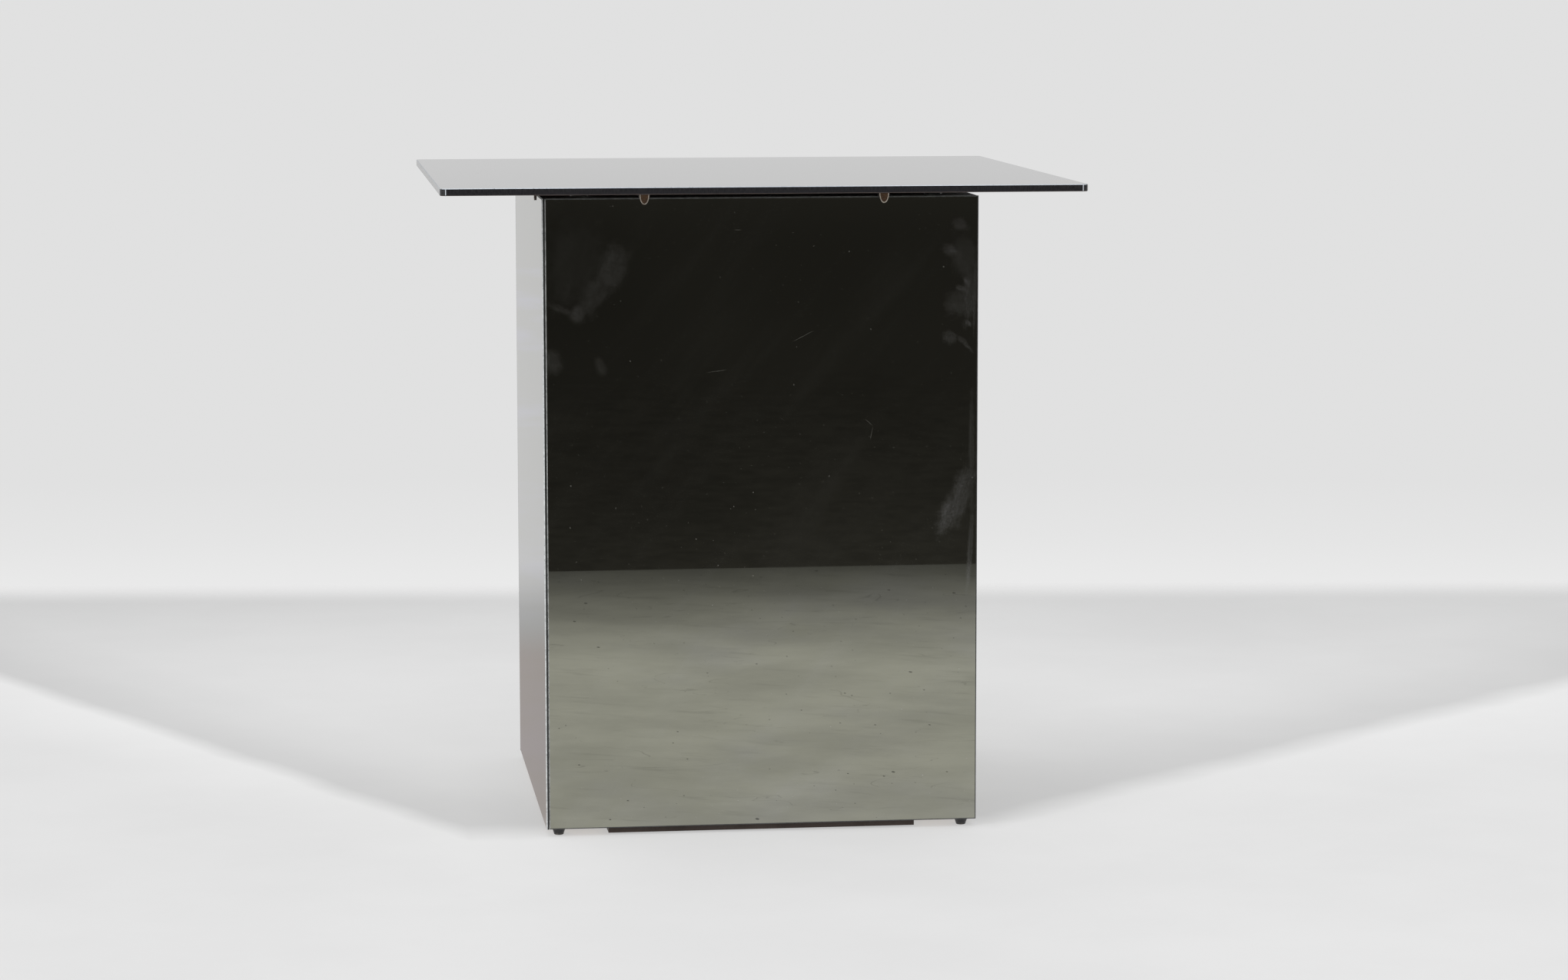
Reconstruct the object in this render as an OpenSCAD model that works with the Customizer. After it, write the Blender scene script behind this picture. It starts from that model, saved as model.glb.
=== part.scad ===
// A square pedestal table: a wooden box clad in smoked mirror on all four sides, under a loose,
// overhanging glass top. Millimetres. The origin is on the floor under the middle of the glass top,
// X runs to the right along the front, Y to the back and Z up.

/* [Glass top] */
// Length of each side of the glass top
top_w = 712; // [600:1:800]
// Thickness of the glass top
top_t = 8; // [6:0.5:12]
// Radius of the upright corners of the glass top
top_corner_r = 6.5; // [3:0.5:20]
// Width of the ground arris round the glass top
top_arris = 0.7; // [0.4:0.1:2]

/* [Mirror base] */
// Outside width of the mirrored base, the same on all four sides
base_w = 491.5; // [440:0.5:560]
// Height of the mirror panels
panel_h = 712.5; // [500:0.5:800]
// Thickness of a mirror panel
panel_t = 3; // [3:0.5:6]
// Width of the ground arris round the face of a mirror panel
panel_arris = 1.3; // [0.4:0.1:1.5]
// Width of the narrower arris round the back of a mirror panel
panel_back_arris = 0.4; // [0.2:0.1:1]
// Gap between one mirror panel and the next at a corner
panel_gap = 0.2; // [0.1:0.1:1]
// How far the base stands to the right of the middle of the loose top
base_shift = 6.5; // [-20:0.5:20]

/* [Mirror clips] */
// Distance between the two clips on each side
clip_spacing = 269.5; // [120:0.5:320]
// How far the pair of clips stands to the right of the middle of its side
clip_mid = 3.5; // [-10:0.5:10]
// Width of a clip
clip_w = 11; // [9:0.5:14]
// How far a clip's tongue reaches down over the mirror
clip_reach = 7.5; // [6:0.1:10]
// How far a clip stands above the mirror's top edge
clip_rise = 3.5; // [3:0.1:5]
// Length of a clip's foot behind the mirror's face
clip_foot = 18; // [16:0.5:26]

/* [Wooden box] */
// Thickness of the boards
board_t = 16; // [15:0.5:22]
// Thickness of the mounting tape between the mirrors and the box
tape_t = 1.5; // [1:0.1:3]
// Width of a strip of mounting tape
tape_w = 25; // [12:1:50]
// Width of the square battens in the inner corners
batten_w = 30; // [20:1:45]

/* [Supports] */
// Height of the bumpers between the box and the glass
bumper_h = 9.5; // [8:0.5:16]
// Diameter of a bumper
bumper_d = 20; // [12:1:30]
// Distance from the base's sides to the middle of a bumper
bumper_inset = 45; // [45:1:100]
// Height of the glides, and so of the base above the floor
glide_h = 8.5; // [8.5:0.5:20]
// Diameter of a glide's flange
glide_d = 18; // [16:0.5:20]
// Distance from the base's sides to the middle of a glide
glide_inset = 15; // [15:0.1:18]
// Width of the thin board under the box
pad_w = 350; // [240:1:380]
// Thickness of the thin board under the box
pad_t = 6.4; // [3:0.1:8]

/* [Hidden] */
$fn = 64;
SIDES = ["front", "right", "back", "left"];
CORNERS = ["front_right", "back_right", "back_left", "front_left"];
ENDS = ["left", "right"];

panel_top = glide_h + panel_h;
glass_z = panel_top + bumper_h;
panel_w = base_w - panel_t - panel_gap;
panel_mid = (panel_t + panel_gap) / 2;
box_w = base_w - 2 * (panel_t + tape_t);
side_top = panel_top - board_t;
floor_top = glide_h + board_t;
edge_mid = box_w / 2 - board_t / 2;

// Clips: wall of the tongue, its raised rim, and where the screw stands behind the mirror's face
tongue_t = 1;
rim_w = 1.1;
rim_t = 0.4;
clip_screw_y = 12;
clip_screw_d = 3;
clip_screw_len = 14;

// Mounting tape: strips on each panel, their spacing, and how far they stop short of its ends
tape_strips = 3;
tape_pitch = 165;
tape_margin = 50;

// Box screws: diameter, length, and where they stand along a joint
box_screw_d = 4;
box_screw_len = 45;
corner_screws_per_joint = 4;
corner_screw_end = 70;
top_screw_x = 70;
pad_screw_d = 3.5;
pad_screw_len = 18;
pad_screw_margin = 20;

// Glides: flange, body, rounding where they meet the floor, and the nail moulded into each
flange_t = 2;
glide_neck_r = 7.2;
glide_foot_r = 5.6;
glide_round = 1.4;
nail_d = 2.6;
nail_head_d = 7;
nail_head_t = 1.5;
nail_skin = 2.5;
nail_len = 20;

// A rectangle with its corners cut off at 45 degrees, the two at the back by their own amount
module cut_rectangle(w, d, cut, back_cut) {
    x = w / 2;
    y = d / 2;
    polygon([
        [-x + cut, -y], [x - cut, -y], [x, -y + cut], [x, y - back_cut],
        [x - back_cut, y], [-x + back_cut, y], [-x, y - back_cut], [-x, -y + cut]
    ]);
}

// Moves its children from the front of the base to side 0 to 3: front, right, back, left
module on_side(i) {
    translate([base_shift, 0, 0]) rotate([0, 0, 90 * i]) children();
}

// Moves its children from the middle of the base to corner 0 to 3, this far in from both sides
module on_corner(i, inset) {
    on_side(i) translate([base_w / 2 - inset, inset - base_w / 2, 0]) children();
}

// Moves its children to the middle of clip 0 or 1 of the front side, at the mirror's top edge
module at_clip(e) {
    translate([clip_mid + (e - 0.5) * clip_spacing, -base_w / 2, panel_top]) children();
}

// A countersunk screw with its head's face at z = 0, pointing down
module screw_body(d, len) {
    head_h = d / 2;
    point_h = d;
    translate([0, 0, -head_h]) cylinder(d1 = d, d2 = 2 * d, h = head_h);
    translate([0, 0, point_h - len]) cylinder(d = d, h = len - point_h);
    translate([0, 0, -len]) cylinder(d1 = d / 4, d2 = d, h = point_h);
}

module screw(d, len) {
    recess_w = d / 5;
    recess_l = d * 1.1;
    recess_t = d / 3;
    difference() {
        screw_body(d, len);
        for (a = [0, 90])
            rotate([0, 0, a])
                translate([-recess_l / 2, -recess_w / 2, -recess_t]) cube([recess_l, recess_w, d]);
    }
}

// Each of these puts its children where one set of fasteners goes
module at_clip_screws() {
    for (i = [0:3], e = [0, 1])
        on_side(i) at_clip(e) translate([0, clip_screw_y, clip_rise]) children();
}

module at_top_board_screws() {
    for (i = [0:3], x = [-top_screw_x, top_screw_x])
        on_side(i) translate([x, -edge_mid, panel_top]) children();
}

module at_corner_screws() {
    pitch = (side_top - floor_top - 2 * corner_screw_end) / (corner_screws_per_joint - 1);
    for (i = [0, 2], x = [-edge_mid, edge_mid], k = [0:corner_screws_per_joint - 1])
        on_side(i)
            translate([x, -box_w / 2, floor_top + corner_screw_end + k * pitch])
                rotate([90, 0, 0]) children();
}

module at_glides() {
    for (i = [0:3]) on_corner(i, glide_inset) children();
}

module at_pad_screws() {
    x_out = pad_w / 2 - pad_screw_margin;
    y_out = box_w / 2 - board_t - pad_screw_margin;
    for (x = [-x_out, 0, x_out], y = [-y_out, y_out])
        translate([base_shift + x, y, glide_h - pad_t]) rotate([180, 0, 0]) children();
}

// A square plate with round corners and an arris on every edge, ground at 45 degrees
module glass_top() {
    straight = top_w - 2 * top_corner_r;
    inner_r = top_corner_r - top_arris;
    color([0.08, 0.09, 0.10]) translate([0, 0, glass_z]) {
        for (a = [0, 90])
            rotate([90, 0, 90 + a])
                linear_extrude(straight, center = true)
                    translate([0, top_t / 2]) cut_rectangle(top_w, top_t, top_arris, top_arris);
        for (x = [-straight / 2, straight / 2], y = [-straight / 2, straight / 2])
            translate([x, y, 0])
                rotate_extrude()
                    polygon([
                        [0, 0], [inner_r, 0], [top_corner_r, top_arris],
                        [top_corner_r, top_t - top_arris], [inner_r, top_t], [0, top_t]
                    ]);
    }
}

// A low clear button, a little narrower at the top
module bumper() {
    foot_r = bumper_d / 2;
    round_r = 1.5;
    top_r = foot_r - 1.5;
    color([0.80, 0.84, 0.86]) translate([0, 0, panel_top]) {
        rotate_extrude()
            polygon(concat(
                [[0, 0], [foot_r, 0]],
                [for (a = [0:15:90]) [
                    top_r - round_r + round_r * cos(a),
                    bumper_h - round_r + round_r * sin(a)
                ]],
                [[0, bumper_h]]
            ));
    }
}

// One mirror: it butts the panel on its left and laps the edge of the panel on its right
module mirror_panel() {
    color([0.31, 0.32, 0.28])
        translate([panel_mid, panel_t / 2 - base_w / 2, glide_h])
            intersection() {
                linear_extrude(panel_h)
                    cut_rectangle(panel_w, panel_t, panel_arris, panel_back_arris);
                rotate([90, 90, 90])
                    linear_extrude(panel_w, center = true)
                        translate([-panel_h / 2, 0])
                            cut_rectangle(panel_h, panel_t, panel_arris, panel_back_arris);
            }
}

module mounting_tape() {
    color([0.86, 0.86, 0.83])
        for (k = [0:tape_strips - 1])
            translate([
                (k - (tape_strips - 1) / 2) * tape_pitch - tape_w / 2,
                panel_t - base_w / 2,
                glide_h + tape_margin
            ])
                cube([tape_w, tape_t, panel_h - 2 * tape_margin]);
}

// The outline of a clip's tongue: half an ellipse, with its tip at y = 0
module tongue_outline(w, h) {
    polygon([for (a = [0:7.5:180]) [w / 2 * cos(a), h - h * sin(a)]]);
}

module clip() {
    height = clip_reach + clip_rise;
    hole_clear = 0.1;
    past = 0.01;
    color([0.30, 0.20, 0.13]) {
        translate([0, 0, -clip_reach]) rotate([90, 0, 0]) {
            linear_extrude(tongue_t) tongue_outline(clip_w, height);
            linear_extrude(tongue_t + rim_t)
                difference() {
                    tongue_outline(clip_w, height);
                    translate([0, rim_w]) tongue_outline(clip_w - 2 * rim_w, height - rim_w + past);
                }
        }
        difference() {
            union() {
                translate([-clip_w / 2, 0, 0])
                    cube([clip_w, clip_foot - clip_w / 2, clip_rise]);
                translate([0, clip_foot - clip_w / 2, 0]) cylinder(d = clip_w, h = clip_rise);
            }
            translate([0, clip_screw_y, clip_rise])
                screw_body(clip_screw_d + hole_clear, clip_screw_len);
        }
    }
}

module clip_screws() {
    color([0.72, 0.66, 0.48]) at_clip_screws() screw(clip_screw_d, clip_screw_len);
}

module carcass_top() {
    color([0.13, 0.10, 0.08])
        difference() {
            translate([base_shift - box_w / 2, -box_w / 2, side_top]) cube([box_w, box_w, board_t]);
            at_clip_screws() screw_body(clip_screw_d, clip_screw_len);
            at_top_board_screws() screw_body(box_screw_d, box_screw_len);
        }
}

// A side of the box, as long as given: the front and back run past the ends of the left and right
module carcass_side(len, i) {
    color([0.70, 0.57, 0.40])
        difference() {
            on_side(i)
                translate([-len / 2, -box_w / 2, glide_h]) cube([len, board_t, side_top - glide_h]);
            at_top_board_screws() screw_body(box_screw_d, box_screw_len);
            at_corner_screws() screw_body(box_screw_d, box_screw_len);
            at_glides() glide_nail();
        }
}

module carcass_bottom() {
    inner_w = box_w - 2 * board_t;
    color([0.70, 0.57, 0.40])
        difference() {
            translate([base_shift - inner_w / 2, -inner_w / 2, glide_h])
                cube([inner_w, inner_w, board_t]);
            at_pad_screws() screw_body(pad_screw_d, pad_screw_len);
        }
}

module corner_batten() {
    color([0.78, 0.64, 0.45])
        translate([-batten_w / 2, -batten_w / 2, floor_top])
            cube([batten_w, batten_w, side_top - floor_top]);
}

module corner_screws() {
    color([0.72, 0.66, 0.48]) at_corner_screws() screw(box_screw_d, box_screw_len);
}

module top_board_screws() {
    color([0.72, 0.66, 0.48]) at_top_board_screws() screw(box_screw_d, box_screw_len);
}

// A nail whose head is buried in its glide
module glide_nail() {
    translate([0, 0, nail_skin]) {
        cylinder(d = nail_head_d, h = nail_head_t);
        cylinder(d = nail_d, h = nail_len - nail_d);
        translate([0, 0, nail_len - nail_d]) cylinder(d1 = nail_d, d2 = nail_d / 4, h = nail_d);
    }
}

// A tapered foot with a thin flange at the top
module glide() {
    flange_r = glide_d / 2;
    edge = 0.6;
    color([0.06, 0.06, 0.06])
        difference() {
            rotate_extrude()
                polygon(concat(
                    [[0, 0]],
                    [for (a = [-90:15:0]) [
                        glide_foot_r - glide_round + glide_round * cos(a),
                        glide_round + glide_round * sin(a)
                    ]],
                    [
                        [glide_neck_r, glide_h - flange_t],
                        [flange_r - edge, glide_h - flange_t],
                        [flange_r, glide_h - flange_t + edge],
                        [flange_r, glide_h],
                        [0, glide_h]
                    ]
                ));
            glide_nail();
        }
}

module glide_nails() {
    color([0.72, 0.72, 0.74]) at_glides() glide_nail();
}

module bottom_pad() {
    pad_d = box_w - 2;
    color([0.16, 0.11, 0.08])
        difference() {
            translate([base_shift - pad_w / 2, -pad_d / 2, glide_h - pad_t])
                cube([pad_w, pad_d, pad_t]);
            at_pad_screws() screw_body(pad_screw_d, pad_screw_len);
        }
}

module bottom_pad_screws() {
    color([0.72, 0.66, 0.48]) at_pad_screws() screw(pad_screw_d, pad_screw_len);
}

glass_top();
for (i = [0:3]) {
    on_corner(i, bumper_inset) bumper();
    on_side(i) mirror_panel();
    on_side(i) mounting_tape();
    for (e = [0, 1])
        on_side(i) at_clip(e) clip();
    carcass_side(i % 2 == 0 ? box_w : box_w - 2 * board_t, i);
    on_corner(i, (base_w - box_w) / 2 + board_t + batten_w / 2) corner_batten();
    on_corner(i, glide_inset) glide();
}
clip_screws();
carcass_top();
carcass_bottom();
corner_screws();
top_board_screws();
glide_nails();
bottom_pad();
bottom_pad_screws();
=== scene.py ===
import math

import bpy
from mathutils import Matrix, Vector


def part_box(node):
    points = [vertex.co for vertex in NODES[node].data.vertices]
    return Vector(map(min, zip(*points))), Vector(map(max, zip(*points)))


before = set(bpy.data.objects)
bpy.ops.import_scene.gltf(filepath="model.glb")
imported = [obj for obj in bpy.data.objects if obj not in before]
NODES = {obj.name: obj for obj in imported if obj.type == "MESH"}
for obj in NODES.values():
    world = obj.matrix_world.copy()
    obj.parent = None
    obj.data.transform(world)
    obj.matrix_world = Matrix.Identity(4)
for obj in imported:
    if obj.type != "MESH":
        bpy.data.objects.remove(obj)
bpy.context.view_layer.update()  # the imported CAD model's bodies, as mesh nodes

SIDES = ("front", "right", "back", "left")
CORNERS = ("front_right", "back_right", "back_left", "front_left")
# The way each side of the base faces
OUTWARD = {
    "front": Vector((0, -1, 0)),
    "right": Vector((1, 0, 0)),
    "back": Vector((0, 1, 0)),
    "left": Vector((-1, 0, 0)),
}
BASE_LOW = Vector(map(min, *(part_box("mirror_" + side)[0] for side in SIDES)))
BASE_HIGH = Vector(map(max, *(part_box("mirror_" + side)[1] for side in SIDES)))
_, GLASS_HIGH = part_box("glass_top")


# ---------------------------------------------------------------- node trees


class Paint:
    """A node tree with short calls for the nodes that this script uses."""

    def __init__(self, tree):
        self.tree = tree
        self.tree.nodes.clear()

    def put(self, socket, value):
        if isinstance(value, bpy.types.NodeSocket):
            self.tree.links.new(value, socket)
        elif value is not None:
            socket.default_value = value

    def node(self, kind, inputs=None, **settings):
        made = self.tree.nodes.new("ShaderNode" + kind)
        for name, value in settings.items():
            setattr(made, name, value)
        for name, value in (inputs or {}).items():
            self.put(made.inputs[name], value)
        return made

    def math(self, operation, *values, clamp=False):
        made = self.node("Math", operation=operation, use_clamp=clamp)
        for socket, value in zip(made.inputs, values):
            self.put(socket, value)
        return made.outputs[0]

    def total(self, *values):
        """The sum of these numbers."""
        result = values[0]
        for value in values[1:]:
            result = self.math("ADD", result, value)
        return result

    def times(self, *values):
        """The product of these numbers."""
        result = values[0]
        for value in values[1:]:
            result = self.math("MULTIPLY", result, value)
        return result

    def most(self, *values):
        """The greatest of these numbers."""
        result = values[0]
        for value in values[1:]:
            result = self.math("MAXIMUM", result, value)
        return result

    def ease(self, value, low, high, start=0.0, end=1.0):
        """Runs smoothly from start to end as value goes from low to high."""
        inputs = {0: value, 1: low, 2: high, 3: start, 4: end}
        made = self.node("MapRange", interpolation_type="SMOOTHSTEP")
        for index, given in inputs.items():
            self.put(made.inputs[index], given)
        return made.outputs[0]

    def steps(self, value, stops):
        """A number that follows (place, number) stops, with straight lines between them."""
        first, last = stops[0][0], stops[-1][0]
        place = self.node("MapRange", {0: value, 1: first, 2: last})
        ramp = self.node("ValToRGB", {"Fac": place.outputs[0]})
        points = ramp.color_ramp.elements
        while len(points) < len(stops):
            points.new(1.0)
        for point, (where, number) in zip(points, stops):
            point.position = (where - first) / (last - first)
            point.color = (number, number, number, 1)
        return ramp.outputs["Color"]

    def mix(self, factor, one, other, blend="MIX"):
        made = self.node("Mix", data_type="RGBA", blend_type=blend)
        self.put(made.inputs[0], factor)
        self.put(made.inputs[6], one)
        self.put(made.inputs[7], other)
        return made.outputs[2]

    def vector(self, x=0.0, y=0.0, z=0.0):
        return self.node("CombineXYZ", {"X": x, "Y": y, "Z": z}).outputs[0]

    def parts(self, vector):
        return self.node("SeparateXYZ", {"Vector": vector}).outputs

    def place(self, vector, at=(0, 0, 0), turn=(0, 0, 0), scale=(1, 1, 1)):
        inputs = {"Vector": vector, "Location": at, "Rotation": turn, "Scale": scale}
        return self.node("Mapping", inputs, vector_type="TEXTURE").outputs[0]

    def noise(self, vector, scale, detail=3.0, rough=0.5, warp=0.0):
        inputs = {
            "Vector": vector,
            "Scale": scale,
            "Detail": detail,
            "Roughness": rough,
            "Distortion": warp,
        }
        return self.node("TexNoise", inputs).outputs[0]

    def cells(self, vector, scale, flat=True, feature="F1"):
        """Voronoi cells: the distance to each cell's point, and the cell's random colour."""
        made = self.node(
            "TexVoronoi",
            {"Vector": vector, "Scale": scale},
            voronoi_dimensions="2D" if flat else "3D",
            feature=feature,
        )
        return made.outputs["Distance"], made.outputs.get("Color")

    def specks(self, vector, scale, size, share):
        """Round specks on a plane: about this size in metres, in this share of the cells."""
        distance, colour = self.cells(vector, scale)
        red, green, _ = self.parts(colour)
        radius = self.ease(green, 0.0, 1.0, size * scale * 0.35, size * scale)
        inside = self.math("LESS_THAN", self.math("DIVIDE", distance, radius), 1.0)
        chosen = self.math("LESS_THAN", red, share)
        return self.times(inside, chosen)

    def bump(self, height, distance, strength=1.0, below=None):
        inputs = {"Height": height, "Distance": distance, "Strength": strength, "Normal": below}
        return self.node("Bump", inputs).outputs[0]


class Finish(Paint):
    """A material with one Principled shader."""

    def __init__(self, name, **fixed):
        self.material = bpy.data.materials.new(name)
        self.material.use_nodes = True
        super().__init__(self.material.node_tree)
        self.shader = self.node("BsdfPrincipled")
        self.out = self.node("OutputMaterial", {"Surface": self.shader.outputs[0]})
        self.here = self.node("TexCoord").outputs["Object"]
        for name, value in fixed.items():
            self.shader.inputs[name.replace("_", " ")].default_value = value

    def set(self, **values):
        for name, value in values.items():
            self.put(self.shader.inputs[name.replace("_", " ")], value)
        return self.material


def rgb(red, green, blue):
    return (red, green, blue, 1.0)


# ---------------------------------------------------------------- camera


def make_camera():
    """Stands a little to the left of the front, at chest height, with a long lens."""
    turned_right, tilted_down, leaning = 0.12251, 0.12388, -0.0009
    data = bpy.data.cameras.new("camera")
    data.sensor_width = 36.0
    data.lens = 95.95
    data.clip_start = 0.1
    data.clip_end = 100.0
    camera = bpy.data.objects.new("camera", data)
    turn = (
        Matrix.Rotation(-turned_right, 4, "Z")
        @ Matrix.Rotation(math.pi / 2 - tilted_down, 4, "X")
        @ Matrix.Rotation(leaning, 4, "Z")
    )
    camera.matrix_world = Matrix.Translation((-0.53942, -4.88280, 0.97286)) @ turn
    bpy.context.scene.collection.objects.link(camera)
    bpy.context.scene.camera = camera


# ---------------------------------------------------------------- stage

PALE = 0.752  # the backdrop's brightness


def make_world():
    """A pale backdrop for the camera, soft light all round, and a dim room in reflections."""
    world = bpy.data.worlds.new("studio")
    bpy.context.scene.world = world
    world.use_nodes = True
    paint = Paint(world.node_tree)
    way = paint.node("TexCoord").outputs["Generated"]
    x, y, z = paint.parts(way)

    # What the camera sees: a plain backdrop, a little lighter where it meets the floor
    seen = paint.steps(
        z, [(-0.17, PALE), (-0.15, 0.83), (-0.143, 0.815), (-0.134, 0.782), (-0.12, PALE)]
    )

    # What the mirrors see: a dim room, with the pale backdrop only behind the object
    room = paint.steps(
        z,
        [
            (-0.30, 0.050),
            (-0.141, 0.043),
            (-0.125, 0.034),
            (-0.113, 0.032),
            (-0.100, 0.029),
            (-0.080, 0.028),
            (-0.063, 0.031),
            (-0.050, 0.040),
            (0.05, 0.045),
            (0.30, 0.09),
            (0.55, 0.30),
            (0.90, 0.75),
        ],
    )
    streaks = paint.noise(paint.place(way, scale=(0.0065, 0.0065, 0.0009)), 1.0, 5.0, 0.7)
    clutter = paint.noise(paint.place(way, scale=(0.16, 0.16, 0.1)), 1.0, detail=2.0)
    low = paint.ease(z, -0.088, -0.108)  # an old dark floor beyond the pale one
    worn = paint.ease(streaks, 0.3, 0.7, 0.84, 1.16)
    room = paint.mix(low, room, paint.mix(1.0, room, worn, "MULTIPLY"))
    room = paint.mix(1.0, room, rgb(1.05, 1.0, 0.96), "MULTIPLY")
    room = paint.mix(1.0, room, paint.ease(clutter, 0.35, 0.65, 0.75, 1.2), "MULTIPLY")
    level = paint.node("VectorMath", {0: paint.vector(x, y, 0.0)}, operation="NORMALIZE")
    backward = paint.parts(level.outputs[0])[1]
    backdrop = paint.ease(backward, 0.15, 0.35)
    reflected = paint.mix(backdrop, room, rgb(PALE, PALE, PALE))

    path = paint.node("LightPath").outputs
    sideways = paint.ease(x, -1.0, 1.0, 1.12, 0.48)  # the light is stronger on the left
    soft_light = paint.vector(sideways, sideways, sideways)
    colour = paint.mix(path["Is Glossy Ray"], soft_light, reflected)
    colour = paint.mix(path["Is Camera Ray"], colour, seen)
    light = paint.node("Background", {"Color": colour, "Strength": 1.0})
    paint.node("OutputWorld", {"Surface": light.outputs[0]})


def add_plane(name, low, high, z, material):
    mesh = bpy.data.meshes.new(name)
    (left, front), (right, back) = low, high
    corners = [(left, front, z), (right, front, z), (right, back, z), (left, back, z)]
    mesh.from_pydata(corners, [], [(0, 1, 2, 3)])
    mesh.materials.append(material)
    plane = bpy.data.objects.new(name, mesh)
    bpy.context.scene.collection.objects.link(plane)
    return plane


def floor_paint():
    """The floor that the camera sees: it fades into the backdrop, glows with half its painted level,
    and is painted dimmer behind the object as a soft shadow.
    """
    finish = Finish("floor", Roughness=0.8, Specular_IOR_Level=0.1)
    x, y, _ = finish.parts(finish.here)
    waver = finish.noise(finish.here, 5.0, 3.0)
    # Painted shadow: a soft wedge behind the object, past these two lines
    left_line = finish.math("MULTIPLY_ADD", x, -1.93, -0.845)
    right_line = finish.math("MULTIPLY_ADD", x, 0.876, -0.456)
    past = finish.math("SUBTRACT", y, finish.most(left_line, right_line, BASE_LOW.y + 0.03))
    past = finish.total(past, finish.math("MULTIPLY_ADD", waver, 0.06, -0.03))
    level = finish.steps(
        past,
        [
            (-0.60, 0.905),
            (-0.36, 0.920),
            (-0.14, 0.965),
            (-0.045, 0.985),
            (0.045, 0.770),
            (0.12, 0.790),
            (0.27, 0.850),
            (0.50, 0.900),
            (1.50, 0.905),
        ],
    )
    # Painted shade, deeper towards the back
    depth = finish.steps(y, [(0.5, 1.0), (0.95, 0.965), (1.2, 0.93), (1.4, 0.90), (1.6, 0.86)])
    inside = finish.ease(past, -0.04, 0.04)
    level = finish.mix(1.0, level, finish.mix(inside, rgb(1, 1, 1), depth), "MULTIPLY")
    # Painted light: a little brighter in front of the base and on the right
    near = finish.ease(finish.math("ABSOLUTE", x), 0.9, 0.3, 0.0, 0.035)
    right = finish.times(finish.ease(x, 0.1, 0.7), finish.ease(y, 1.1, 0.6, 0.0, 0.045))
    level = finish.mix(1.0, level, finish.total(1.0, near, right), "MULTIPLY")
    mottle = finish.noise(finish.here, 3.0, detail=6.0, rough=0.6)
    level = finish.mix(1.0, level, finish.ease(mottle, 0.3, 0.7, 0.985, 1.015), "MULTIPLY")
    # The floor glows with half its painted light and shade; the rest comes from the lamps
    glow = finish.mix(1.0, rgb(0.50, 0.50, 0.50), level, "MULTIPLY")
    albedo = finish.mix(1.0, rgb(0.31, 0.31, 0.31), level, "MULTIPLY")
    finish.set(Base_Color=albedo, Emission_Color=glow, Emission_Strength=1.0)

    out_x = finish.ease(finish.math("ABSOLUTE", x), 1.7, 2.6)
    out_front = finish.ease(y, -1.7, -2.6)
    far = finish.math("MULTIPLY_ADD", x, 0.105, y)
    out_back = finish.ease(far, 1.50, 1.72)
    gone = finish.most(out_x, out_front, out_back)
    clear = finish.node("BsdfTransparent").outputs[0]
    blend = finish.node("MixShader", {0: gone, 1: finish.shader.outputs[0], 2: clear})
    finish.put(finish.out.inputs["Surface"], blend.outputs[0])
    finish.material.cycles.emission_sampling = "NONE"
    return finish.material


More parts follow.
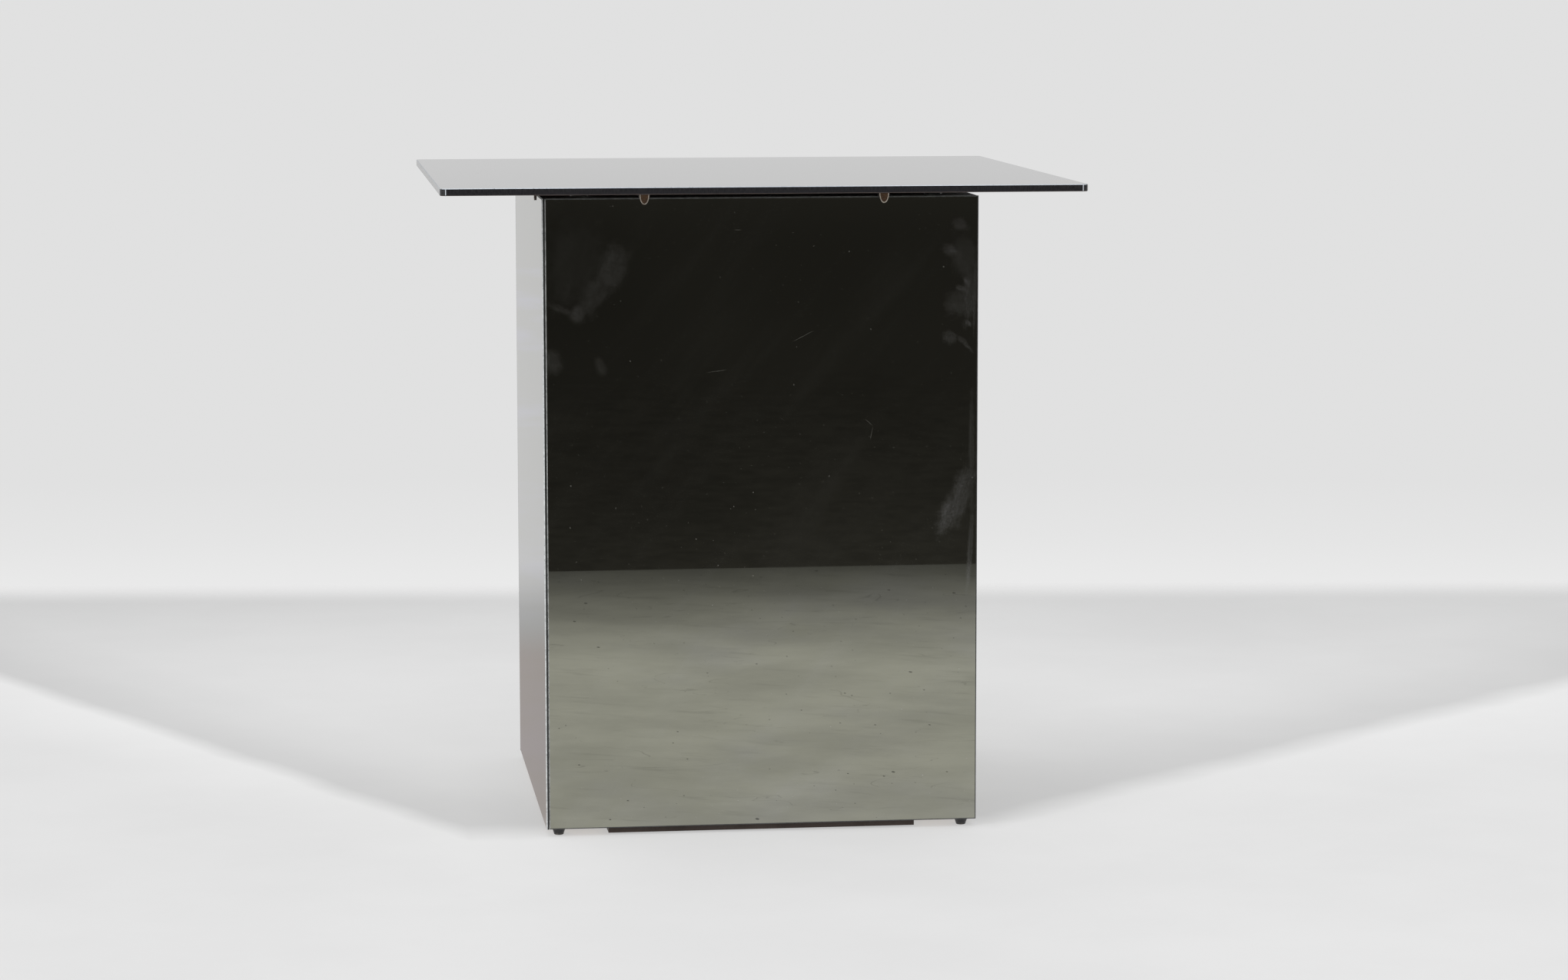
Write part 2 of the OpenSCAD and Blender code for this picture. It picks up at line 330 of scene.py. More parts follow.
def reflected_floor_paint():
    """The floor that the mirrors see: pale near the base, and dimmer towards the edge of the light."""
    material = bpy.data.materials.new("reflected_floor")
    material.use_nodes = True
    paint = Paint(material.node_tree)
    here = paint.node("TexCoord").outputs["Object"]
    x, y, _ = paint.parts(here)
    half = (BASE_HIGH.y - BASE_LOW.y) / 2
    away = paint.most(paint.math("ABSOLUTE", x), paint.times(y, -1.0))
    away = paint.math("SUBTRACT", away, half)
    level = paint.steps(
        away,
        [(0.0, 0.75), (1.15, 0.75), (1.27, 0.69), (1.62, 0.42), (1.86, 0.255), (2.11, 0.135)],
    )

    # Beside and behind the object the floor lies in a soft, slightly pink shadow
    shade = paint.steps(
        y, [(0.0, 0.463), (1.05, 0.470), (1.25, 0.497), (1.47, 0.546), (1.72, 0.668), (1.98, PALE)]
    )
    pink = paint.mix(paint.ease(y, 1.35, 0.95), rgb(1, 1, 1), rgb(1.0, 0.918, 0.880))
    shade = paint.mix(1.0, shade, pink, "MULTIPLY")
    behind = paint.ease(y, -0.30, -0.10)
    aside = paint.ease(paint.math("ABSOLUTE", x), 0.9, 1.6)
    behind = paint.times(behind, paint.math("SUBTRACT", 1.0, paint.times(aside, 0.5)))
    colour = paint.mix(behind, level, shade)

    # Wear: cloudy patches, scuffs, specks and a few long scratches
    cloud = paint.noise(here, 4.0, detail=6.0, rough=0.6)
    scuff = paint.noise(paint.place(here, turn=(0, 0, 0.5), scale=(1.0, 0.25, 1.0)), 7.0, 5.0, 0.6)
    wear = paint.times(
        paint.ease(cloud, 0.32, 0.68, 0.90, 1.09), paint.ease(scuff, 0.56, 0.70, 1.0, 0.90)
    )
    upright = paint.place(here, scale=(0.4, 1.0, 1.0))
    bits = paint.specks(upright, 4.0, 0.0065, 0.40)
    small_bits = paint.specks(upright, 9.0, 0.0034, 0.45)
    wear = paint.times(wear, paint.ease(paint.most(bits, small_bits), 0.0, 1.0, 1.0, 0.42))
    crack = paint.noise(paint.place(here, scale=(1.0, 0.5, 1.0)), 2.2, 3.0, 0.6, 0.8)
    crack = paint.math("ABSOLUTE", paint.math("SUBTRACT", crack, 0.5))
    broken = paint.noise(here, 6.0, 3.0, 0.6)
    gap = paint.ease(broken, 0.5, 0.6, 0.0, 0.01)
    crack = paint.ease(paint.total(crack, gap), 0.0, 0.003, 0.80, 1.0)
    wear = paint.times(wear, crack)
    in_front = paint.ease(y, -0.2, -0.3)
    wear = paint.mix(in_front, rgb(1, 1, 1), wear)
    colour = paint.mix(1.0, colour, wear, "MULTIPLY")
    pale = paint.noise(paint.place(here, scale=(0.5, 1.0, 1.0)), 1.3, 4.0, 0.6)
    bluish = paint.mix(1.0, colour, rgb(1.03, 1.03, 1.09), "MULTIPLY")
    colour = paint.mix(paint.ease(pale, 0.45, 0.7), colour, bluish)
    # The mirrors' floor glows: its light and soft shadow are painted, not lit
    glow = paint.node("Emission", {"Color": colour, "Strength": 1.0})
    paint.node("OutputMaterial", {"Surface": glow.outputs[0]})
    material.cycles.emission_sampling = "NONE"
    return material


def make_stage():
    make_world()
    floor = add_plane("floor", (-2.7, -2.7), (2.7, 1.8), 0.0, floor_paint())
    floor.visible_glossy = False
    light_edge = 2.106  # how far in front of the base the pale floor ends, in reflections
    far = abs(BASE_LOW.y) + light_edge
    just_under = -0.001
    paint = reflected_floor_paint()
    mirrored = add_plane("reflected_floor", (-far, -far), (far, 9.0), just_under, paint)
    mirrored.visible_camera = False
    mirrored.visible_diffuse = False
    mirrored.visible_transmission = False
    mirrored.visible_shadow = False


def add_light(name, at, aim, size, power, colour=(1.0, 1.0, 1.0)):
    data = bpy.data.lights.new(name, "AREA")
    data.shape = "RECTANGLE"
    data.size, data.size_y = size
    data.energy = power
    data.color = colour
    light = bpy.data.objects.new(name, data)
    light.location = at
    light.rotation_euler = (Vector(aim) - Vector(at)).to_track_quat("-Z", "Y").to_euler()
    light.visible_glossy = False
    light.visible_camera = False
    bpy.context.scene.collection.objects.link(light)


def make_lights():
    add_light("overhead", (0.0, -0.4, 2.9), (0, 0, 0.4), (2.4, 2.0), 26.0, (0.97, 0.98, 1.0))
    add_light("left_bank", (-2.6, -1.6, 1.7), (0, 0, 0.5), (1.4, 1.8), 16.0)


# ---------------------------------------------------------------- smoked mirror and glass


def smear(finish, flat, at, size, turn, grain):
    """A smear on a flat face: a long soft oval with a ragged rim, wiped into streaks along itself."""
    own = finish.place(flat, at=(at[0], at[1], 0), turn=(0, 0, turn), scale=(size[0], size[1], 1))
    reach = finish.node("VectorMath", {0: own}, operation="LENGTH").outputs["Value"]
    ragged = finish.noise(flat, 70.0, 5.0, 0.7)
    reach = finish.total(reach, finish.math("MULTIPLY_ADD", ragged, 1.4, -0.7))
    edge = finish.ease(reach, 1.05, 0.30)
    streaks = finish.noise(finish.place(own, scale=(0.35, 1.1, 1)), 1.0, 7.0, 0.75, 0.6)
    return finish.times(edge, finish.ease(streaks, 0.30, 0.70, 1.0 - grain, 1.0))


def hairline(finish, flat, at, length, turn, width=0.0003):
    """A straight hairline scratch that thins out at its ends."""
    own = finish.place(flat, at=(at[0], at[1], 0), turn=(0, 0, turn))
    x, y, _ = finish.parts(own)
    along = finish.ease(finish.math("ABSOLUTE", x), length / 2, length * 0.2)
    across = finish.ease(finish.math("ABSOLUTE", y), width, 0.0)
    return finish.times(along, across)


def mirror_face(side, smears, scratches):
    """Smoked mirror with finger marks, wiped film, dust and a few hairlines.
    smears holds (across, up, half width, half height, turn, strength) and scratches
    (across, up, length, turn), in metres from the panel's lower left corner as one faces it."""
    finish = Finish("smoked_mirror_" + side, Specular_Tint=rgb(0.76, 0.76, 0.76), IOR=1.5)
    low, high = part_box("mirror_" + side)
    x, y, z = finish.parts(finish.here)
    across = {
        "front": finish.math("SUBTRACT", x, low.x),
        "right": finish.math("SUBTRACT", y, low.y),
        "back": finish.math("SUBTRACT", high.x, x),
        "left": finish.math("SUBTRACT", high.y, y),
    }[side]
    up = finish.math("SUBTRACT", z, low.z)
    flat = finish.vector(across, up, SIDES.index(side) * 3.7)

    marks = 0.0
    for at_x, at_y, wide, tall, turn, strength in smears:
        mark = smear(finish, flat, (at_x, at_y), (wide, tall), turn, 0.6)
        marks = finish.most(marks, finish.times(mark, strength))
    wiped = finish.noise(finish.place(flat, turn=(0, 0, 0.9), scale=(0.5, 0.08, 1)), 1.6, 5.0, 0.6)
    film = finish.ease(wiped, 0.45, 0.75, 0.0, 0.10)
    brushed = finish.place(flat, turn=(0, 0, -0.5), scale=(0.5, 1.0, 1))
    mottle = finish.noise(brushed, 330.0, 5.0, 0.75)
    marks = finish.times(marks, finish.ease(mottle, 0.32, 0.68, 0.45, 1.45))
    marks = finish.total(marks, film)
    squeezed = finish.place(flat, turn=(0, 0, 0.6), scale=(0.7, 1.0, 1.0))
    fine_dust = finish.specks(squeezed, 60.0, 0.00045, 0.30)
    big_dust = finish.specks(squeezed, 26.0, 0.0007, 0.22)
    dust = finish.most(finish.times(fine_dust, 0.30), finish.times(big_dust, 0.5))
    for at_x, at_y, length, turn in scratches:
        scratch = hairline(finish, flat, (at_x, at_y), length, turn)
        dust = finish.most(dust, finish.times(scratch, 0.45))

    smoked = rgb(0.335, 0.335, 0.273)
    colour = finish.mix(finish.times(marks, 0.32), smoked, rgb(0.62, 0.62, 0.69))
    colour = finish.mix(dust, colour, rgb(0.62, 0.61, 0.58))
    metal = finish.total(1.0, finish.times(marks, -0.085), finish.times(dust, -0.45))
    rough = finish.total(0.010, finish.times(marks, 0.05), finish.times(dust, 0.3))
    raised = finish.bump(dust, 0.00005, 0.6)
    return finish.set(Base_Color=colour, Metallic=metal, Roughness=rough, Normal=raised)


def dark_edge():
    """The flat of a mirror's edge: smoothed, so dark glass with fine marks along it."""
    finish = Finish("mirror_edge", IOR=1.52)
    fine = finish.noise(finish.here, 900.0, 2.0)
    tone = finish.noise(finish.here, 40.0, 3.0)
    tone = finish.ease(tone, 0.3, 0.7)
    colour = finish.mix(tone, rgb(0.012, 0.013, 0.012), rgb(0.022, 0.024, 0.021))
    return finish.set(
        Base_Color=colour,
        Roughness=finish.ease(fine, 0.3, 0.7, 0.12, 0.3),
        Normal=finish.bump(fine, 0.00002, 0.5),
    )


def ground_arris(name, light, dark):
    """An arris left as the stone ground it: matt, with grain and small chips."""
    finish = Finish(name, IOR=1.5)
    grain = finish.noise(finish.here, 2500.0, 2.0)
    patches = finish.noise(finish.here, 180.0, 4.0, 0.7)
    chips, _ = finish.cells(finish.here, 350.0, flat=False)
    worn = finish.ease(patches, 0.35, 0.65)
    colour = finish.mix(worn, rgb(*dark), rgb(*light))
    colour = finish.mix(finish.ease(chips, 0.22, 0.12), colour, rgb(*(c * 0.55 for c in dark)))
    return finish.set(
        Base_Color=colour,
        Roughness=finish.ease(grain, 0.3, 0.7, 0.35, 0.6),
        Normal=finish.bump(finish.total(grain, chips), 0.00003, 0.6),
    )


def mirror_backing():
    """The protective paint on the back of a mirror."""
    finish = Finish("mirror_backing", IOR=1.5)
    drips = finish.noise(finish.place(finish.here, scale=(1, 1, 0.2)), 90.0, 4.0)
    colour = finish.mix(drips, rgb(0.16, 0.15, 0.14), rgb(0.23, 0.21, 0.19))
    return finish.set(
        Base_Color=colour,
        Roughness=finish.ease(drips, 0.3, 0.7, 0.4, 0.6),
        Normal=finish.bump(drips, 0.0001, 0.4),
    )


def smoked_glass():
    """Dark polished glass with a thin film of dust, finger marks and a few specks."""
    finish = Finish("smoked_glass", IOR=1.5)
    x, y, _ = finish.parts(finish.here)
    flat = finish.vector(x, y, 0.0)
    cloud = finish.noise(flat, 5.0, 5.0, 0.6)
    wiped = finish.noise(finish.place(flat, turn=(0, 0, 0.35), scale=(0.6, 0.07, 1)), 1.6, 5.0, 0.6)
    prints = finish.ease(finish.noise(flat, 26.0, 2.0), 0.60, 0.72)
    rim_x = finish.ease(finish.math("ABSOLUTE", x), GLASS_HIGH.x - 0.13, GLASS_HIGH.x - 0.04)
    rim_y = finish.ease(finish.math("ABSOLUTE", y), GLASS_HIGH.y - 0.13, GLASS_HIGH.y - 0.04)
    prints = finish.times(prints, finish.most(rim_x, rim_y))
    film = finish.total(
        finish.ease(cloud, 0.35, 0.7, 0.0, 0.25),
        finish.ease(wiped, 0.45, 0.75, 0.0, 0.35),
        finish.times(prints, 0.5),
    )
    fine_dust = finish.specks(flat, 70.0, 0.0004, 0.10)
    dust = finish.most(fine_dust, finish.specks(flat, 20.0, 0.0009, 0.10))
    colour = finish.mix(film, rgb(0.0095, 0.0093, 0.0110), rgb(0.030, 0.030, 0.031))
    colour = finish.mix(dust, colour, rgb(0.45, 0.44, 0.42))
    rough = finish.total(0.012, finish.times(film, 0.035), finish.times(dust, 0.4))
    return finish.set(Base_Color=colour, Roughness=rough, Normal=finish.bump(dust, 0.00005, 0.6))


def glass_edge():
    """The polished flat of the glass's edge, duller and scuffed on the round corners, each of
    which starts with a painted highlight: a thin bright stroke where the rounding begins."""
    finish = Finish("glass_edge", IOR=1.5)
    x, y, z = finish.parts(finish.here)
    rounding = 0.0062  # how far from the corner its painted highlight is
    corner_x = finish.math("SUBTRACT", finish.math("ABSOLUTE", x), GLASS_HIGH.x - rounding)
    corner_y = finish.math("SUBTRACT", finish.math("ABSOLUTE", y), GLASS_HIGH.y - rounding)
    lengthways = finish.vector(finish.total(x, y), 0.0, finish.times(z, 0.2))
    along = finish.noise(lengthways, 900.0, 4.0)
    scuffs = finish.noise(finish.here, 1400.0, 4.0, 0.7)
    on_corner = finish.ease(finish.math("MINIMUM", corner_x, corner_y), -0.0003, 0.0003)
    # Painted highlight: a thin bright stroke where each corner's rounding begins, broken by scuffs
    line_x = finish.ease(finish.math("ABSOLUTE", corner_x), 0.0007, 0.0002)
    line_y = finish.ease(finish.math("ABSOLUTE", corner_y), 0.0007, 0.0002)
    broken = finish.ease(scuffs, 0.30, 0.48, 0.35, 1.0)
    line = finish.times(finish.most(line_x, line_y), broken)
    along = finish.ease(along, 0.35, 0.65)
    flat = finish.mix(along, rgb(0.016, 0.016, 0.018), rgb(0.027, 0.026, 0.028))
    worn = finish.ease(scuffs, 0.35, 0.65)
    dull = finish.mix(worn, rgb(0.016, 0.016, 0.018), rgb(0.060, 0.060, 0.062))
    colour = finish.mix(on_corner, flat, dull)
    colour = finish.mix(line, colour, rgb(0.62, 0.66, 0.70))
    rough = finish.total(0.10, finish.times(on_corner, 0.25), finish.times(scuffs, 0.08))
    return finish.set(Base_Color=colour, Roughness=rough, Normal=finish.bump(scuffs, 0.00003, 0.4))


# ---------------------------------------------------------------- the other materials


def clear_bumper():
    """Soft clear polyurethane, faintly yellowed, with small bubbles."""
    finish = Finish("clear_bumper", IOR=1.49)
    cloud = finish.noise(finish.here, 300.0, 3.0)
    bubbles, _ = finish.cells(finish.here, 700.0, flat=False)
    colour = finish.mix(cloud, rgb(0.86, 0.87, 0.84), rgb(0.93, 0.93, 0.88))
    return finish.set(
        Base_Color=colour,
        Transmission_Weight=finish.ease(cloud, 0.2, 0.8, 0.92, 0.80),
        Roughness=finish.ease(cloud, 0.3, 0.7, 0.10, 0.22),
        Normal=finish.bump(bubbles, 0.00006, 0.25),
    )


def clip_plastic(name, light, dark, rough):
    """Moulded clip plastic with flow marks and fine scuffs."""
    finish = Finish(name, IOR=1.49)
    flow = finish.noise(finish.place(finish.here, scale=(1, 1, 0.3)), 260.0, 4.0, 0.6)
    drawn_out = finish.place(finish.here, turn=(0.4, 0.2, 0.6), scale=(1, 0.12, 1))
    scuff = finish.noise(drawn_out, 900.0, 3.0)
    colour = finish.mix(finish.ease(flow, 0.3, 0.7), rgb(*dark), rgb(*light))
    colour = finish.mix(finish.ease(scuff, 0.62, 0.8, 0.0, 0.35), colour, rgb(0.45, 0.40, 0.35))
    return finish.set(
        Base_Color=colour,
        Roughness=finish.ease(scuff, 0.35, 0.75, rough, rough + 0.25),
        Normal=finish.bump(finish.total(flow, scuff), 0.00005, 0.35),
    )


def plated_metal(name, light, dark, rough):
    """Plated or bare steel with drawn marks, cloudy plating and dark spots of dirt."""
    finish = Finish(name, Metallic=1.0)
    drawn = finish.noise(finish.place(finish.here, scale=(1, 1, 0.1)), 1500.0, 2.0)
    cloud = finish.noise(finish.here, 220.0, 4.0, 0.6)
    spots = finish.noise(finish.here, 700.0, 3.0, 0.7)
    colour = finish.mix(finish.ease(cloud, 0.3, 0.7), rgb(*dark), rgb(*light))
    colour = finish.mix(finish.ease(spots, 0.64, 0.74, 0.0, 0.7), colour, rgb(0.16, 0.12, 0.08))
    return finish.set(
        Base_Color=colour,
        Roughness=finish.ease(cloud, 0.3, 0.7, rough, rough + 0.18),
        Normal=finish.bump(drawn, 0.00002, 0.4),
    )


def foam_tape():
    """White closed-cell foam tape, a little yellowed."""
    finish = Finish("mounting_tape", IOR=1.45, Roughness=0.85)
    pores, _ = finish.cells(finish.here, 1400.0, flat=False)
    tone = finish.noise(finish.here, 60.0, 3.0)
    colour = finish.mix(tone, rgb(0.62, 0.60, 0.54), rgb(0.78, 0.77, 0.72))
    colour = finish.mix(finish.ease(pores, 0.35, 0.1, 0.0, 0.4), colour, rgb(0.40, 0.38, 0.33))
    return finish.set(Base_Color=colour, Normal=finish.bump(pores, 0.0002, 0.6))


def chipboard(name, tones, gap, rough):
    """Pressed chips: small flakes of several tones, with dark gaps between them."""
    finish = Finish(name, IOR=1.45)
    bend = finish.node("TexNoise", {"Vector": finish.here, "Scale": 60.0, "Detail": 2.0})
    pushes = {0: bend.outputs["Color"], 1: (0.006,) * 3, 2: finish.here}
    warped = finish.node("VectorMath", pushes, operation="MULTIPLY_ADD").outputs[0]
    flake = finish.place(warped, turn=(0.5, 0.7, 0.4), scale=(1.0, 0.45, 1.0))
    _, tint = finish.cells(flake, 190.0, flat=False)
    _, small_tint = finish.cells(flake, 520.0, flat=False)
    edge, _ = finish.cells(flake, 190.0, flat=False, feature="DISTANCE_TO_EDGE")
    one, two, _ = finish.parts(tint)
    three = finish.parts(small_tint)[0]
    colour = finish.mix(one, rgb(*tones[0]), rgb(*tones[1]))
    colour = finish.mix(finish.ease(two, 0.7, 1.0), colour, rgb(*tones[2]))
    colour = finish.mix(finish.times(three, 0.4), colour, rgb(*tones[2]))
    colour = finish.mix(finish.ease(edge, 0.06, 0.0, 0.0, 0.75), colour, rgb(*gap))
    fibre = finish.noise(finish.place(finish.here, scale=(0.3, 1, 0.3)), 1800.0, 2.0)
    height = finish.total(finish.times(one, 0.6), finish.times(fibre, 0.4))
    return finish.set(
        Base_Color=colour,
        Roughness=finish.ease(fibre, 0.3, 0.7, rough, rough + 0.18),
        Normal=finish.bump(height, 0.0002, 0.6),
    )


def pine():
    """Sawn softwood: growth rings cut lengthways, fine fibre and saw marks."""
    finish = Finish("batten_wood", IOR=1.45)
    long_way = finish.place(finish.here, scale=(1, 1, 18))
    wander = finish.noise(long_way, 22.0, 3.0, 0.5)
    x, y, _ = finish.parts(long_way)
    phase = finish.total(finish.times(x, 900.0), finish.times(y, 520.0), finish.times(wander, 26.0))
    rings = finish.math("SINE", phase)
    fibre = finish.noise(finish.place(finish.here, scale=(1, 1, 30)), 1400.0, 3.0, 0.6)
    saw = finish.noise(finish.place(finish.here, scale=(1, 1, 0.03)), 30.0, 2.0)
    colour = finish.mix(finish.ease(rings, -0.2, 1.0), rgb(0.66, 0.47, 0.28), rgb(0.46, 0.28, 0.13))
    colour = finish.mix(finish.times(fibre, 0.35), colour, rgb(0.74, 0.58, 0.38))
    return finish.set(
        Base_Color=colour,
        Roughness=finish.ease(fibre, 0.3, 0.7, 0.6, 0.8),
        Normal=finish.bump(finish.total(fibre, saw), 0.00025, 0.5),
    )


def hardboard():
    """Dark brown tempered hardboard: fibres on its face, with rubbed patches painted lighter as a
    sheen.
    """
    finish = Finish("dark_hardboard", IOR=1.5)
    brushed = finish.place(finish.here, turn=(0, 0, 0.4), scale=(0.25, 1, 1))
    fibres = finish.noise(brushed, 900.0, 4.0, 0.65)
    blotch = finish.noise(finish.here, 30.0, 5.0, 0.6)
    rub_and_sheen = finish.noise(finish.place(finish.here, turn=(0, 0, 1.1), scale=(0.1, 1, 1)), 60.0, 4.0)
    pressed = finish.ease(fibres, 0.3, 0.7)
    colour = finish.mix(pressed, rgb(0.020, 0.011, 0.007), rgb(0.050, 0.029, 0.018))
    colour = finish.mix(finish.ease(blotch, 0.5, 0.75, 0.0, 0.5), colour, rgb(0.016, 0.010, 0.008))
    # rubbed patches with a painted sheen, lighter in the colour
    colour = finish.mix(finish.ease(rub_and_sheen, 0.66, 0.8, 0.0, 0.35), colour, rgb(0.16, 0.12, 0.09))
    return finish.set(
        Base_Color=colour,
        Roughness=finish.ease(blotch, 0.3, 0.7, 0.38, 0.62),
        Normal=finish.bump(fibres, 0.00012, 0.5),
    )


def black_nylon():
    """Moulded black nylon, rubbed grey where it stands on the floor."""
    finish = Finish("black_glide", IOR=1.53)
    _, _, z = finish.parts(finish.here)
    grain = finish.noise(finish.here, 1600.0, 3.0)
    dirt = finish.noise(finish.here, 240.0, 4.0, 0.6)
    low = finish.times(finish.ease(z, 0.0030, 0.0002), finish.ease(dirt, 0.35, 0.65))
    dirty = finish.ease(dirt, 0.4, 0.8)
    colour = finish.mix(dirty, rgb(0.010, 0.010, 0.010), rgb(0.030, 0.027, 0.024))
    colour = finish.mix(finish.times(low, 0.6), colour, rgb(0.20, 0.18, 0.15))
    return finish.set(
        Base_Color=colour,
        Roughness=finish.total(0.38, finish.times(grain, 0.15), finish.times(low, 0.25)),
        Normal=finish.bump(grain, 0.00005, 0.4),
    )


# ---------------------------------------------------------------- dressing the CAD nodes


def dress(node, *materials):
    """Gives a CAD node these materials, in this order."""
    mesh = NODES[node].data
    mesh.materials.clear()
    for material in materials:
        mesh.materials.append(material)


def choose(node, rule):
    """Gives each face of a CAD node the material that rule picks from its normal and centre."""
    mesh = NODES[node].data
    for face in mesh.polygons:
        face.material_index = mesh.materials.find(rule(face.normal, face.center).name)


def soften(node, width, segments=2, angle=40.0):
    """Rounds a CAD node's sharp edges."""
    bevel = NODES[node].modifiers.new("soft_edges", "BEVEL")
    bevel.width = width
    bevel.segments = segments
    bevel.limit_method = "ANGLE"
    bevel.angle_limit = math.radians(angle)
    bevel.use_clamp_overlap = True


# Hand marks on the panels, as one faces each: across, up, half width, half height, turn, strength
SMEARS = {
    "front": [
        (0.074, 0.635, 0.022, 0.036, -0.45, 0.60),
        (0.055, 0.605, 0.017, 0.040, -0.60, 0.50),
        (0.036, 0.584, 0.012, 0.014, -0.30, 0.75),
        (0.018, 0.589, 0.006, 0.020, 1.15, 0.45),
        (0.030, 0.640, 0.040, 0.066, -0.30, 0.24),
        (0.007, 0.531, 0.014, 0.018, 0.10, 0.60),
        (0.062, 0.524, 0.008, 0.013, 0.45, 0.45),
        (0.467, 0.680, 0.009, 0.012, 1.20, 0.70),
        (0.457, 0.651, 0.009, 0.012, 1.20, 0.66),
        (0.472, 0.642, 0.018, 0.032, 0.15, 0.50),
        (0.476, 0.616, 0.005, 0.009, 0.60, 1.20),
        (0.459, 0.651, 0.004, 0.008, 0.90, 1.10),
        (0.469, 0.608, 0.004, 0.010, 1.20, 1.00),
        (0.477, 0.569, 0.003, 0.006, 0.70, 1.10),
        (0.484, 0.602, 0.003, 0.055, -0.02, 0.80),
        (0.466, 0.591, 0.020, 0.019, 1.10, 0.60),
        (0.478, 0.600, 0.010, 0.040, -0.10, 0.75),
        (0.456, 0.553, 0.010, 0.010, 0.80, 0.70),
        (0.471, 0.549, 0.004, 0.010, 0.90, 0.66),
        (0.476, 0.543, 0.003, 0.011, 0.75, 0.80),
        (0.454, 0.352, 0.0120, 0.031, -0.38, 1.15),
        (0.469, 0.372, 0.0145, 0.050, -0.33, 0.90),
        (0.4815, 0.420, 0.004, 0.090, 0.0, 0.55),
        (0.4800, 0.310, 0.004, 0.062, -0.07, 0.80),
    ],
    "right": [
        (0.030, 0.600, 0.016, 0.050, 0.30, 0.80),
        (0.400, 0.560, 0.045, 0.030, 0.80, 0.60),
        (0.300, 0.300, 0.030, 0.060, -0.50, 0.45),
    ],
    "back": [
        (0.450, 0.620, 0.020, 0.045, -0.30, 0.75),
        (0.200, 0.500, 0.060, 0.030, 0.40, 0.45),
        (0.060, 0.240, 0.020, 0.050, 0.20, 0.60),
    ],
    "left": [
        (0.090, 0.610, 0.025, 0.050, 0.45, 0.70),
        (0.380, 0.420, 0.050, 0.030, -0.60, 0.50),
    ],
}
# Hairlines on the panels: across, up, length, turn
HAIRLINES = {
    "front": [
        (0.192, 0.518, 0.026, 0.13),
        (0.216, 0.676, 0.010, -0.05),
        (0.364, 0.458, 0.012, -0.73),
        (0.367, 0.445, 0.018, 1.37),
        (0.289, 0.556, 0.030, 0.47),
    ],
    "right": [(0.150, 0.480, 0.040, 0.9), (0.330, 0.200, 0.030, -0.4)],
    "back": [(0.300, 0.350, 0.050, 0.3), (0.120, 0.600, 0.022, -0.8)],
    "left": [(0.240, 0.300, 0.035, -0.5)],
}


def dress_mirrors():
    land = dark_edge()
    # One ground arris in four painted lights: lit on the left panel, half shaded on the other panels,
    # in the painted shade of the glass's overhang where it faces up, and darkest where it faces down
    # or right
    lit_arris = ground_arris("mirror_arris_light", (0.66, 0.68, 0.68), (0.46, 0.47, 0.47))
    pale = ground_arris("mirror_arris_pale", (0.46, 0.47, 0.46), (0.28, 0.29, 0.28))
    grey = ground_arris("mirror_arris_grey", (0.32, 0.33, 0.31), (0.20, 0.21, 0.20))
    dark = ground_arris("mirror_arris_dark", (0.060, 0.060, 0.058), (0.028, 0.029, 0.028))
    backing = mirror_backing()
    square_on = 0.9  # a face's normal is along an axis when its part on that axis passes this
    slanted = 0.3  # and it leans towards the axis when its part passes this

    for side in SIDES:
        node = "mirror_" + side
        outward = OUTWARD[side]
        face = mirror_face(side, SMEARS[side], HAIRLINES[side])
        dress(node, face, land, backing, lit_arris, pale, grey, dark)

        def rule(normal, centre, side=side, outward=outward, face=face):
            if normal.dot(outward) > square_on:
                return face
            if normal.dot(outward) < -square_on:
                return backing
            if max(map(abs, normal)) > square_on:
                return land
            # painted shade, darkest on the arrises facing down or right
            if normal.z < -slanted or normal.x > slanted:
                return dark  # the arrises that face down or to the right are in the shade
            # painted shade under the glass's overhang on the arrises facing up
            if normal.z > slanted:
                return grey
            # painted light on the left panel's arrises, painted half shade on the others
            return lit_arris if side == "left" else pale

        choose(node, rule)


def dress_glass():
    # One ground arris in three painted lights: lit bluish where it faces up at the front, dimmer at
    # the sides, in painted shade where it faces down
    lit_front_arris = ground_arris("glass_arris_lit_top", (0.60, 0.64, 0.69), (0.48, 0.52, 0.57))
    half_lit_side_arris = ground_arris("glass_arris_half_lit_side", (0.36, 0.38, 0.40), (0.26, 0.28, 0.30))
    shaded_low_arris = ground_arris("glass_arris_shaded_low", (0.075, 0.055, 0.048), (0.050, 0.036, 0.032))
    flat = smoked_glass()
    edge = glass_edge()
    dress("glass_top", flat, edge, lit_front_arris, half_lit_side_arris, shaded_low_arris)
    level, upright = 0.95, 0.3  # how steep a face's normal is on the flats and on the edge

    def rule(normal, centre):
        if abs(normal.z) > level:
            return flat
        if abs(normal.z) < upright:
            return edge
        if normal.z < 0:
            return shaded_low_arris
        return lit_front_arris if abs(normal.y) > abs(normal.x) else half_lit_side_arris

    choose("glass_top", rule)


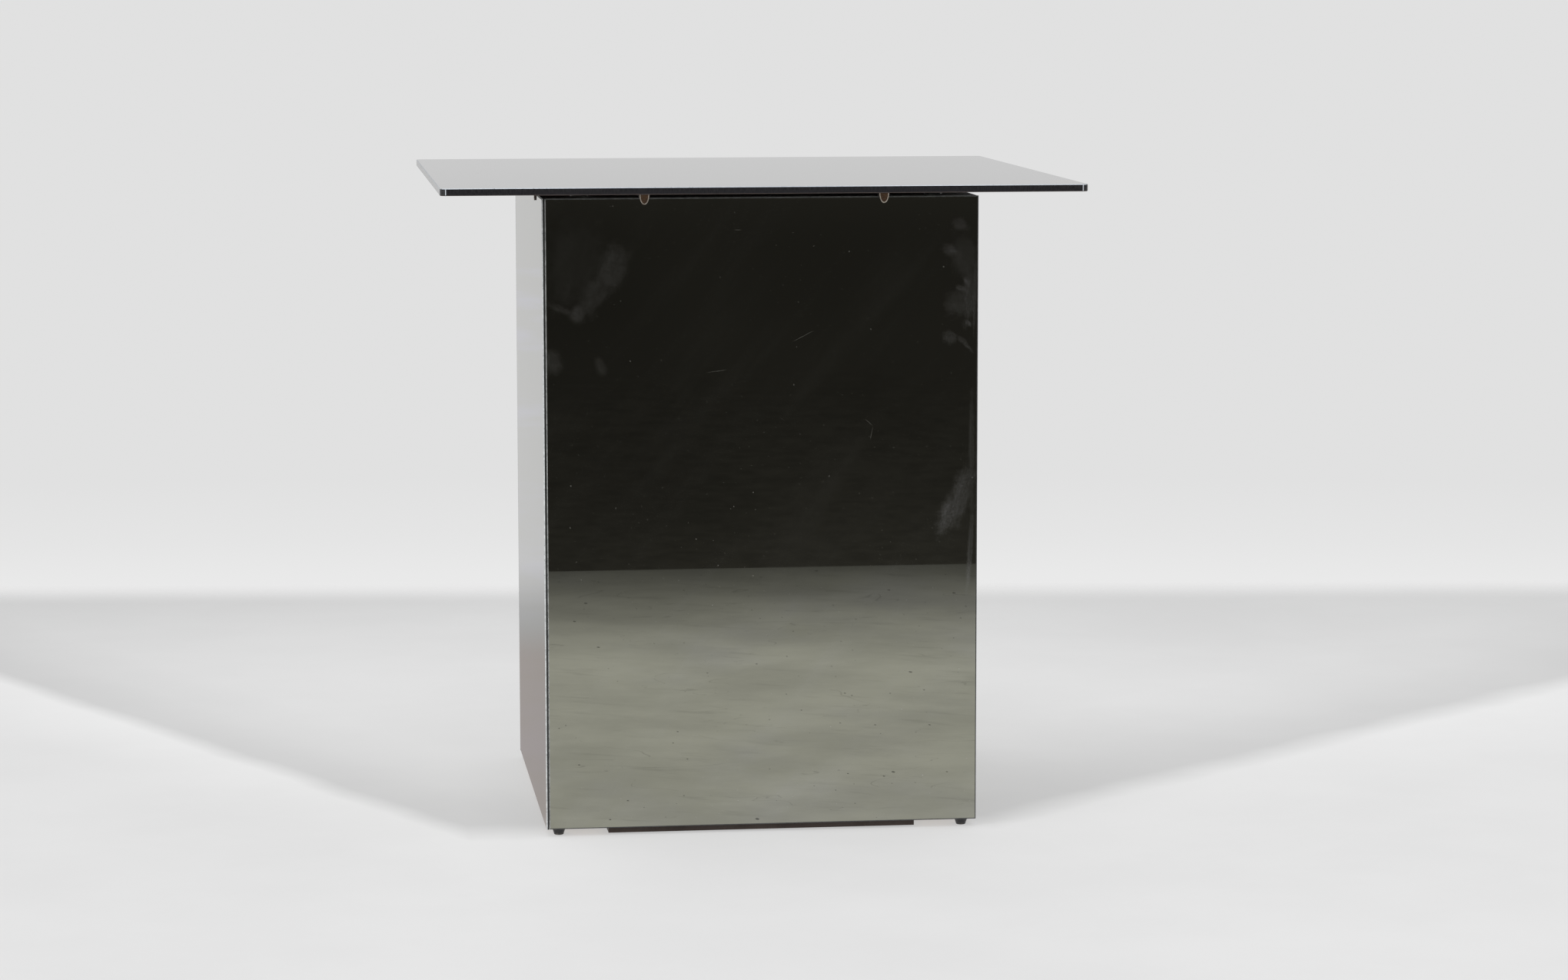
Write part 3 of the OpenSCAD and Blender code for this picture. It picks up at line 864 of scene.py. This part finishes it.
def dress_clips():
    # One brown plastic in three painted lights: the raised rim painted light as its highlight, the
    # thin edges painted in shade
    body = clip_plastic("brown_clip", (0.150, 0.078, 0.034), (0.055, 0.028, 0.013), 0.30)
    edge = clip_plastic("clip_edge_shaded", (0.045, 0.028, 0.016), (0.020, 0.013, 0.009), 0.35)
    rim = clip_plastic("clip_rim_highlight", (0.66, 0.60, 0.52), (0.40, 0.34, 0.27), 0.25)
    tongue = 0.0011  # the raised rim stands farther out than this

    for side in SIDES:
        outward = OUTWARD[side]
        axis = Vector(map(abs, outward))
        face = (BASE_HIGH if side in ("right", "back") else BASE_LOW).dot(axis)
        for end in ("left", "right"):
            node = f"{side}_clip_{end}"
            dress(node, body, rim, edge)

            def rule(normal, centre, outward=outward, axis=axis, face=face):
                out = (centre.dot(axis) - face) * sum(outward)
                # painted highlight on the raised rim, painted shade on the thin edges
                if out > tongue:
                    return rim
                return body if abs(normal.dot(outward)) > 0.5 else edge

            choose(node, rule)
            soften(node, 0.00012)


def dress_the_rest():
    screws = plated_metal("plated_screw", (0.80, 0.70, 0.45), (0.62, 0.52, 0.30), 0.24)
    nails = plated_metal("nail_steel", (0.62, 0.62, 0.63), (0.48, 0.48, 0.50), 0.3)
    bare = chipboard(
        "bare_board",
        [(0.50, 0.35, 0.20), (0.66, 0.50, 0.31), (0.33, 0.21, 0.11)],
        (0.13, 0.08, 0.045),
        0.65,
    )
    # Its tones are lighter than the board's own dark paint: painted light for the slot under the
    # glass, where little light reaches
    dark = chipboard(
        "dark_board",
        [(0.130, 0.098, 0.082), (0.180, 0.136, 0.116), (0.095, 0.072, 0.060)],
        (0.045, 0.035, 0.030),
        0.45,
    )
    tape = foam_tape()
    wood = pine()
    board = hardboard()
    nylon = black_nylon()
    bumper = clear_bumper()

    for node in ("clip_screws", "corner_screws", "top_board_screws", "bottom_pad_screws"):
        dress(node, screws)
    dress("glide_nails", nails)
    dress("carcass_top", dark)
    dress("carcass_bottom", bare)
    dress("bottom_pad", board)
    soften("bottom_pad", 0.0005)
    for side in SIDES:
        dress("carcass_" + side, bare)
        dress("mounting_tape_" + side, tape)
    for corner in CORNERS:
        dress("corner_batten_" + corner, wood)
        soften("corner_batten_" + corner, 0.0008)
        dress("glide_" + corner, nylon)
        dress("bumper_" + corner, bumper)


make_camera()
make_stage()
make_lights()
dress_mirrors()
dress_glass()
dress_clips()
dress_the_rest()
bpy.context.scene.view_settings.view_transform = "Standard"
